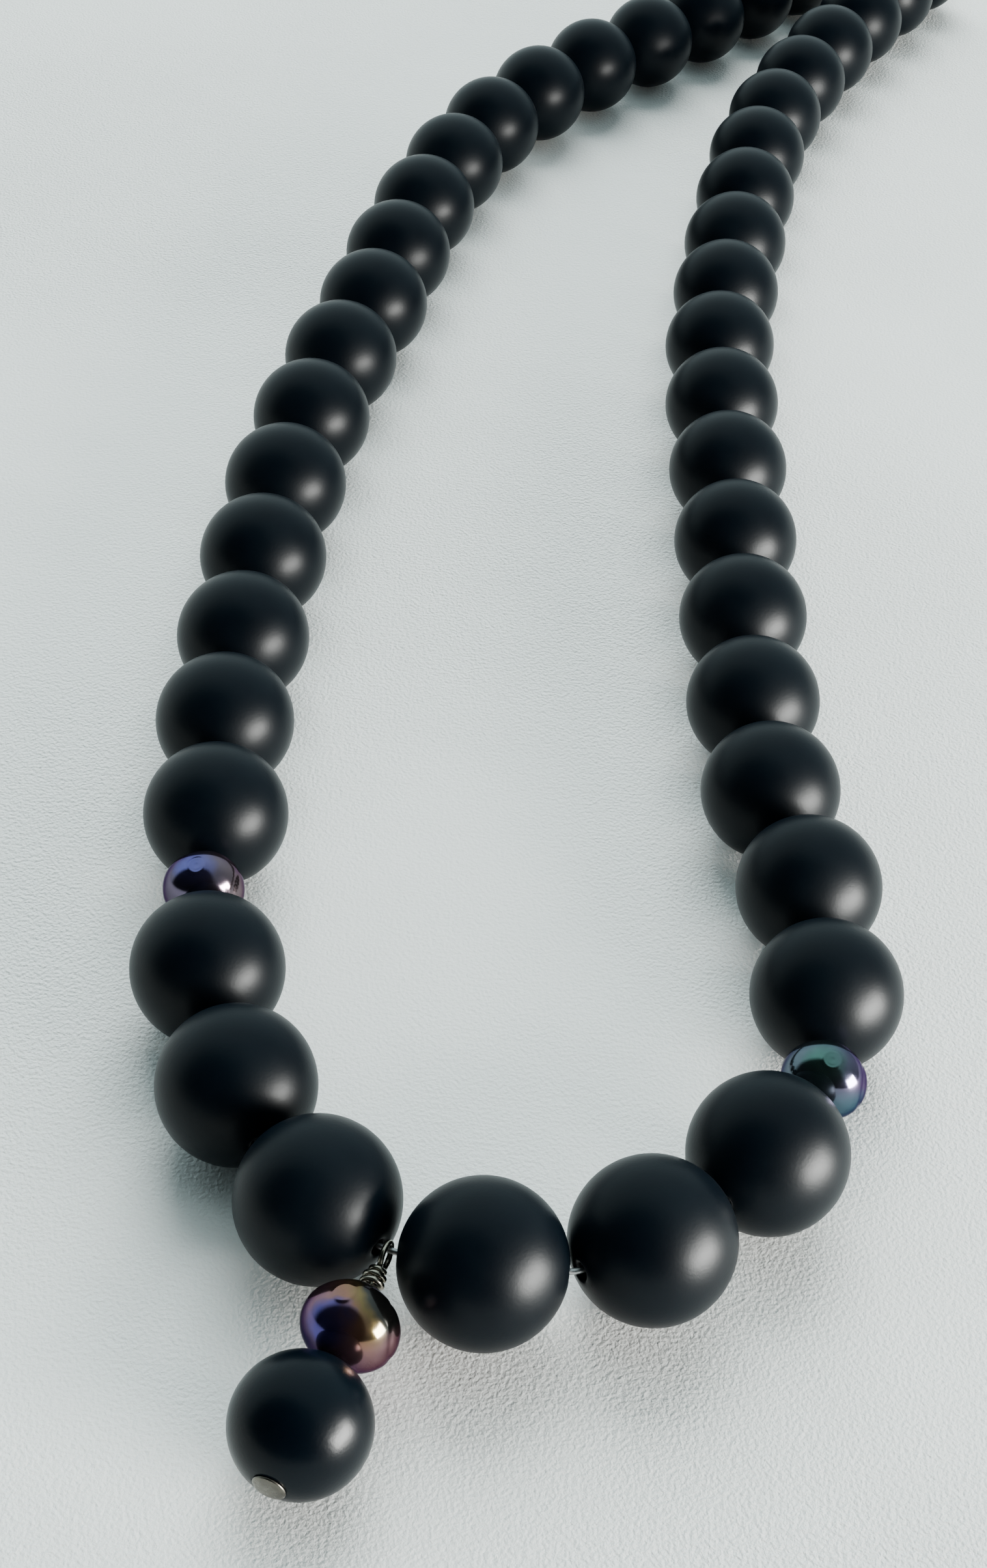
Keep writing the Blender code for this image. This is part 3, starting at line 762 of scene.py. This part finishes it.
def end_wire_route(stone_centre, flat):
    """From the stone through the crimp, round the loop and back, in the crimp's frame."""
    loop_angles = [math.radians(d) for d in range(-90, 91, 15)]
    route = [
        (stone_centre.x, 0, stone_centre.z),
        (-BEAD_RADIUS * 0.35, -0.06 * MM, stone_centre.z * 0.3),
        (CRIMP_START, -WIRE_ASIDE, 0),
        (CRIMP_END, -WIRE_ASIDE, 0),
        (LOOP_START, -LOOP_SHOULDER, 0),
    ]
    for a in loop_angles:
        route.append((LOOP_CENTRE + LOOP_RADIUS * math.cos(a), LOOP_RADIUS * math.sin(a), 0))
    route += [
        (LOOP_START, LOOP_SHOULDER, 0),
        (CRIMP_END, WIRE_ASIDE, 0),
        (CRIMP_START + WIRE_ASIDE, WIRE_ASIDE, 0),
    ]
    if not flat:
        route = [route[0]] + [(x, z, y) for x, y, z in route[1:]]
    return route


def build_end(index, way, side, flat):
    """The crimp, the wire through it and its loop. Gives the level direction out of the strand."""
    place, level = end_frame(index, way, f"crimp_{side}")
    body = STRAND[index]
    profile = [
        (CRIMP_START, CRIMP_BORE + CRIMP_EASE),
        (CRIMP_START, CRIMP_RADIUS - CRIMP_EASE),
        (CRIMP_START + CRIMP_EASE, CRIMP_RADIUS),
        (CRIMP_END - CRIMP_EASE, CRIMP_RADIUS),
        (CRIMP_END, CRIMP_RADIUS - CRIMP_EASE),
        (CRIMP_END, CRIMP_BORE + CRIMP_EASE),
        (CRIMP_END - CRIMP_EASE, CRIMP_BORE),
        (CRIMP_START + CRIMP_EASE, CRIMP_BORE),
    ]
    verts, faces = lathe(profile, 40, place)
    add_silver(f"look_crimp_{side}", verts, faces, body, f"crimp_{side}", sharp_angle=50)

    route = end_wire_route(place.inverted() @ centre_of(body), flat)
    add_wire(f"look_wire_end_{side}", [place @ Vector(p) for p in smooth_line(route, 5)], body)
    return level


def build_end_ring(level):
    """The ring leans from the wire's loop down to the table."""
    near = joint_point("end_ring_swing")
    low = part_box("end_ring")[0][2]
    fall = near.z - low - END_RING_WIRE
    slope = math.asin(min(fall / (2 * END_RING_RADIUS), 1))
    along = level * math.cos(slope) - UP * math.sin(slope)
    centre = near + along * END_RING_RADIUS
    points = on_circle(centre, along, UP.cross(level), END_RING_RADIUS, full_turn(RING_STEPS))
    verts, faces = sweep(points, END_RING_WIRE, 20, closed=True)
    add_silver("look_end_ring", verts, faces, "end_ring", "end_ring", sharp_angle=60)


def build_jump_ring(level):
    """A cut ring that stands on edge between the wire's loop and the clasp's eye."""
    centre = centre_of("jump_ring")
    along = (centre - joint_point("jump_ring_swing")).normalized()
    upright = along.cross(UP.cross(level)).normalized()
    turn = math.tau - 2 * JUMP_RING_HALF_CUT
    start = JUMP_RING_CUT_AT + JUMP_RING_HALF_CUT
    angles = [start + turn * i / RING_STEPS for i in range(RING_STEPS + 1)]
    points = on_circle(centre, along, upright, JUMP_RING_RADIUS, angles)
    verts, faces = sweep(points, JUMP_RING_WIRE, 16)
    add_silver("look_jump_ring", verts, faces, "jump_ring", "jump_ring", sharp_angle=60)


# ---------------------------------------------------------------- clasp

# In the clasp's frame X runs from the eye to the hook, Y towards the lever and Z up.
CLASP_HALF = 1.3 * MM
CLASP_EYE_AT = -5.4 * MM
CLASP_EYE_RADIUS = 1.25 * MM
CLASP_EYE_WIRE = 0.42 * MM
LEVER_PIVOT = Vector((-2.4 * MM, 0.9 * MM, 0))
LEVER_HALF = 0.4 * MM
LEVER_BOSS_RADIUS = 0.75 * MM
LEVER_EASE = 0.12 * MM
SLOT_HALF = 0.55 * MM
SLOT_FLOOR = -0.4 * MM
EDGE_EASE = 0.22 * MM
SPRING_RADIUS = 0.12 * MM

HOOK_LINE = [(-2.2, 0.2), (-1.2, -1.5), (1.2, -2.4), (3.6, -1.9), (4.9, -0.2), (4.7, 1.5), (3.7, 2.3)]
SPRING_LINE = [(-3.4, 0.0), (-2.3, -0.18), (-1.2, 0.0), (-0.6, 0.5)]
HOOK_ROOT_MM = 1.2
HOOK_THINNING_MM = 0.54
NOSE_STEPS = 4


def clasp_frame():
    """The clasp lies flat. Its eye is at the turning joint and its lever's pin at the press joint."""
    eye = joint_point("clasp_turn")
    pin = joint_point("clasp_lever_press")
    to_pin = pin - eye
    turn = math.atan2(LEVER_PIVOT.y, LEVER_PIVOT.x - CLASP_EYE_AT)
    level = Vector((to_pin.x, to_pin.y, 0)).normalized()
    level.rotate(Matrix.Rotation(-turn, 3, "Z"))
    return frame_matrix(eye - level * CLASP_EYE_AT, level, UP.cross(level))


def nose_taper(steps_from_end):
    """Rounds off the hook's nose over its last few steps, which end just short of a point."""
    short = 0.15
    return math.sqrt(1 - max(1 - (steps_from_end + short) / NOSE_STEPS, 0) ** 2)


def build_clasp_body(world):
    line = smooth_line(flat_line(HOOK_LINE), 12)
    last = len(line) - 1
    radii = []
    for i in range(last + 1):
        radii.append((HOOK_ROOT_MM - HOOK_THINNING_MM * i / last) * MM * nose_taper(last - i))
    hook = sweep([world @ p for p in line], radii, 20)

    block = (arc((-2.9 * MM, 0.3 * MM), 1.7 * MM, 90, 270, 20)
             + arc((-1.7 * MM, -0.3 * MM), 1.1 * MM, -90, 0, 10)
             + arc((-1.6 * MM, 1.0 * MM), 1.0 * MM, 0, 90, 10))
    upper_cheek = eased_plate(block, SLOT_HALF, CLASP_HALF, EDGE_EASE, world)
    lower_cheek = eased_plate(block, -CLASP_HALF, -SLOT_HALF, EDGE_EASE, world)
    inset = 0.1 * MM
    floor_outline = without_repeats([(x, min(y, SLOT_FLOOR)) for x, y in block])
    slot_floor = eased_plate(floor_outline, -CLASP_HALF + inset, CLASP_HALF - inset, 0.05 * MM, world)

    eye_centre = Vector((CLASP_EYE_AT, 0, 0))
    circle = on_circle(eye_centre, Vector((1, 0, 0)), Vector((0, 1, 0)), CLASP_EYE_RADIUS, full_turn(48))
    eye = sweep([world @ p for p in circle], CLASP_EYE_WIRE, 16, closed=True)

    verts, faces = joined([hook, upper_cheek, lower_cheek, slot_floor, eye])
    add_silver("look_clasp_body", verts, faces, "clasp", "clasp_body")


def build_clasp_pin(world):
    """The lever's pin, peened a little proud of both cheeks."""
    proud = CLASP_HALF * 1.02
    shoulder = CLASP_HALF * 0.98
    lower = [(-proud, 0), (-proud, 0.3 * MM), (-shoulder, 0.4 * MM)]
    upper = [(-along, radius) for along, radius in lower[::-1]]
    place = world @ Matrix.Translation(LEVER_PIVOT) @ Matrix.Rotation(math.pi / 2, 4, "Y")
    verts, faces = lathe_solid(lower + upper, 24, place)
    add_silver("look_clasp_pin", verts, faces, "clasp", "clasp_pin", sharp_angle=30)


def build_clasp_lever(world):
    outline = (arc(LEVER_PIVOT, LEVER_BOSS_RADIUS, 180, 290, 12)
               + in_mm([(-0.6, 0.75), (3.1, 0.85)])
               + arc((3.15 * MM, 1.15 * MM), 0.3 * MM, -80, 60, 6)
               + in_mm([(0.6, 1.75), (-0.2, 2.1)])
               + arc((-0.9 * MM, 3.1 * MM), 0.5 * MM, -10, 160, 12)
               + in_mm([(-1.9, 1.75)])
               + arc(LEVER_PIVOT, LEVER_BOSS_RADIUS, 100, 160, 6))
    verts, faces = eased_plate(outline, -LEVER_HALF, LEVER_HALF, LEVER_EASE, world)
    add_silver("look_clasp_lever", verts, faces, "clasp_lever", "clasp_lever")


def build_clasp_spring(world):
    """The leaf spring, curved between the clasp and its lever."""
    line = smooth_line(flat_line(SPRING_LINE), 8)
    verts, faces = sweep([world @ p for p in line], SPRING_RADIUS, 8)
    spring = mesh_object("look_clasp_spring", verts, faces, CABLE, None, sharp_angle=60)
    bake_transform(spring)
    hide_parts("clasp_spring")


# ---------------------------------------------------------------- drop

PIN_HEAD_RADIUS = 0.97 * MM
# The flat head's outline: millimetres down from the bead, and share of the head's radius
PIN_HEAD_SHAPE = [
    (0, 0), (0, 0.5), (0, 0.96), (0.04, 1), (0.10, 1), (0.15, 0.95), (0.19, 0.75), (0.22, 0.4), (0.23, 0),
]

# The loop goes round the stringing wire, and its centre is a little below that wire's middle.
PIN_LOOP_RADIUS = 0.8 * MM
PIN_LOOP_CENTRE = -0.45 * MM
PIN_LOOP_STEPS = 24
PIN_LOOP_FROM_DEG = 222
PIN_LOOP_TURN_DEG = 276
PIN_LOOP_LEAN = 0.05 * MM

WRAP_TURNS = 3.2
WRAP_STEPS = 80
WRAP_FROM_DEG = 110
WRAP_UNEVEN = 0.13 * MM


def wrap_size(t):
    """Radius of the wraps, which get wider from the loop towards the pearl, not quite evenly."""
    return (0.29 + 0.29 * math.sin(2.3 * t) + 0.02 * math.sin(17 * t)) * MM


def pin_route(head, neck):
    """The pin's wire in its own frame: X up the pin. Shank, loop round the strand, loose wraps."""
    top = PIN_LOOP_CENTRE - PIN_LOOP_RADIUS - 0.05 * MM
    wrap_length = top - neck - PIN_WIRE_RADIUS
    shank = [(head, 0, 0), (neck, 0, 0), (top - 0.1 * MM, 0, 0.02 * MM)]
    loop = []
    for i in range(PIN_LOOP_STEPS + 1):
        a = math.radians(PIN_LOOP_FROM_DEG + PIN_LOOP_TURN_DEG * i / PIN_LOOP_STEPS)
        along = PIN_LOOP_CENTRE + PIN_LOOP_RADIUS * math.cos(a)
        loop.append((along, PIN_LOOP_LEAN * math.sin(a), PIN_LOOP_RADIUS * math.sin(a)))
    wraps = []
    for i in range(WRAP_STEPS + 1):
        t = i / WRAP_STEPS
        a = math.tau * WRAP_TURNS * t + math.radians(WRAP_FROM_DEG)
        size = wrap_size(t)
        along = top - wrap_length * t + WRAP_UNEVEN * math.sin(a + 0.8) * (1 - t)
        wraps.append((along, -size * math.cos(a), size * math.sin(a)))
    line = smooth_line(shank, 4)
    line += smooth_line([shank[-1], *loop], 2)[1:]
    line += smooth_line([loop[-1], *wraps], 2)[1:]
    return line


def build_drop():
    hang = joint_point("drop_swing")
    bead_centre = centre_of("bead_drop")
    pearl_centre = joint_point("pearl_drop_spin")
    up_pin = (hang - bead_centre).normalized()
    world = frame_matrix(hang, up_pin, -joint_axis("drop_swing"))

    make_bead("bead_drop", bead_centre, up_pin, DROP_BEAD_RADIUS, "bead_drop",
              mouth=DROP_HOLE_MOUTH, look=DROP_STONE)
    make_pearl("pearl_drop", pearl_centre, up_pin)

    bead_end = math.sqrt(DROP_BEAD_RADIUS ** 2 - PIN_HEAD_RADIUS ** 2)
    head = -(hang - bead_centre).length - bead_end
    neck = -(hang - pearl_centre).length + DROP_PEARL_HALF_LENGTH + 0.1 * MM
    wire = sweep([world @ Vector(p) for p in pin_route(head, neck)], PIN_WIRE_RADIUS, 14)
    profile = [(head - depth * MM, PIN_HEAD_RADIUS * share) for depth, share in PIN_HEAD_SHAPE]
    flat_head = lathe_solid(profile, 48, world)
    for name, (verts, faces), look, sharp_angle in (
            ("look_pin_wire", wire, PIN_METAL, 60),
            ("look_pin_head", flat_head, PIN_HEAD_SHADED_METAL, 50)):
        piece = mesh_object(name, verts, faces, look, "drop", sharp_angle)
        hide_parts("head_pin")


# ---------------------------------------------------------------- stage, light, camera

FLOOR_HALF = 3.0

# The camera's place is counted from the bead beside the drop.
CAMERA_ASIDE = -1.93 * MM
CAMERA_BACK = 79.73 * MM
CAMERA_HEIGHT = 109.78 * MM
CAMERA_PITCH = math.radians(40.9)
CAMERA_ROLL = math.radians(5.31)
CAMERA_LENS_MM = 52.3
CAMERA_SENSOR_MM = 36
CAMERA_NEAREST = 0.001

WALL = (0.80, 0.86, 0.86)


def build_floor():
    z = min(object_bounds()[0][2], 0)
    s = FLOOR_HALF
    mesh = bpy.data.meshes.new("floor")
    mesh.from_pydata([(-s, -s, z), (s, -s, z), (s, s, z), (-s, s, z)], [], [(0, 1, 2, 3)])
    mesh.materials.append(paper())
    floor = bpy.data.objects.new("floor", mesh)
    bpy.context.scene.collection.objects.link(floor)


def area_light(name, azimuth, elevation, distance, size, power, colour):
    """A soft light aimed at the beads beside the drop. Azimuth 0 is in front (-Y) and 90 is at +X."""
    a, e = math.radians(azimuth), math.radians(elevation)
    away = Vector((math.sin(a) * math.cos(e), -math.cos(a) * math.cos(e), math.sin(e)))
    data = bpy.data.lights.new(name, "AREA")
    data.shape = "RECTANGLE"
    data.size, data.size_y = size
    data.energy = power
    data.color = colour
    light = bpy.data.objects.new(name, data)
    light.location = centre_of("bead_right_01") + away * distance
    light.rotation_euler = away.to_track_quat("Z", "Y").to_euler()
    light.visible_camera = False
    bpy.context.scene.collection.objects.link(light)
    return light


def build_lights():
    """A low window at the right, whose glint is a light of its own, and a soft light from behind."""
    window = area_light("window", azimuth=58, elevation=14, distance=0.45, size=(0.3, 0.22),
                        power=5.6, colour=(1.0, 0.96, 0.91))
    window.visible_glossy = False
    glint = area_light("window_glint", azimuth=70, elevation=9, distance=0.24, size=(0.14, 0.08),
                       power=5.4, colour=(1.0, 1.0, 0.96))
    glint.visible_diffuse = False
    behind = area_light("behind", azimuth=180, elevation=42, distance=1.0, size=(0.7, 0.7),
                        power=15, colour=(0.95, 1.0, 0.99))
    behind.visible_glossy = False


def build_world():
    """A pale room, brighter behind and above, with a dark shape in front that the stones mirror."""
    world = bpy.data.worlds.new("room")
    bpy.context.scene.world = world
    world.use_nodes = True
    kit = NodeKit(world.node_tree)
    background = kit.nodes["Background"].inputs
    place = kit.nodes.new("ShaderNodeTexCoord").outputs["Generated"]
    toward_back = kit.remap(kit.directed(place, (-0.50, 0.72, 0.48)), (-1, 1), (0, 1))
    room = kit.ramp(toward_back, [
        (0.0, (0.05, 0.07, 0.08)),
        (0.5, (0.58, 0.72, 0.74)),
        (1.0, (1.40, 1.76, 1.80)),
    ])
    lit = kit.remap(kit.directed(place, (-0.43, -0.75, 0.50)), (0.42, 0.62), (1, 0.02))
    shaded = kit.vector_node("SCALE", room)
    kit.put(lit, shaded.inputs["Scale"])
    # The camera itself sees an even pale wall.
    seen = kit.nodes.new("ShaderNodeLightPath").outputs["Is Camera Ray"]
    kit.put(kit.mix(seen, shaded.outputs[0], WALL), background["Color"])
    background["Strength"].default_value = 1.0


def build_camera():
    """The view down the strand from the drop's end, with a slight roll."""
    data = bpy.data.cameras.new("camera")
    data.sensor_fit = "VERTICAL"
    data.sensor_height = CAMERA_SENSOR_MM
    data.lens = CAMERA_LENS_MM
    data.clip_start = CAMERA_NEAREST
    camera = bpy.data.objects.new("camera", data)
    bpy.context.scene.collection.objects.link(camera)
    forward = Vector((0, math.cos(CAMERA_PITCH), -math.sin(CAMERA_PITCH)))
    level = Vector((1, 0, 0))
    upward = level.cross(forward)
    right = level * math.cos(CAMERA_ROLL) + upward * math.sin(CAMERA_ROLL)
    top = upward * math.cos(CAMERA_ROLL) - level * math.sin(CAMERA_ROLL)
    turned = Matrix((right, top, -forward)).transposed().to_4x4()
    bead = centre_of("bead_right_01")
    place = Vector((bead.x + CAMERA_ASIDE, bead.y - CAMERA_BACK, CAMERA_HEIGHT))
    camera.matrix_world = Matrix.Translation(place) @ turned
    bpy.context.scene.camera = camera


build_camera()
build_strand()
build_gap_wires()
LEFT_LEVEL = build_end(0, -1, "left", False)
RIGHT_LEVEL = build_end(len(STRAND) - 1, 1, "right", True)
build_end_ring(LEFT_LEVEL)
build_jump_ring(RIGHT_LEVEL)
CLASP_FRAME = clasp_frame()
build_clasp_body(CLASP_FRAME)
build_clasp_pin(CLASP_FRAME)
build_clasp_lever(CLASP_FRAME)
build_clasp_spring(CLASP_FRAME)
build_drop()
build_floor()
build_lights()
build_world()
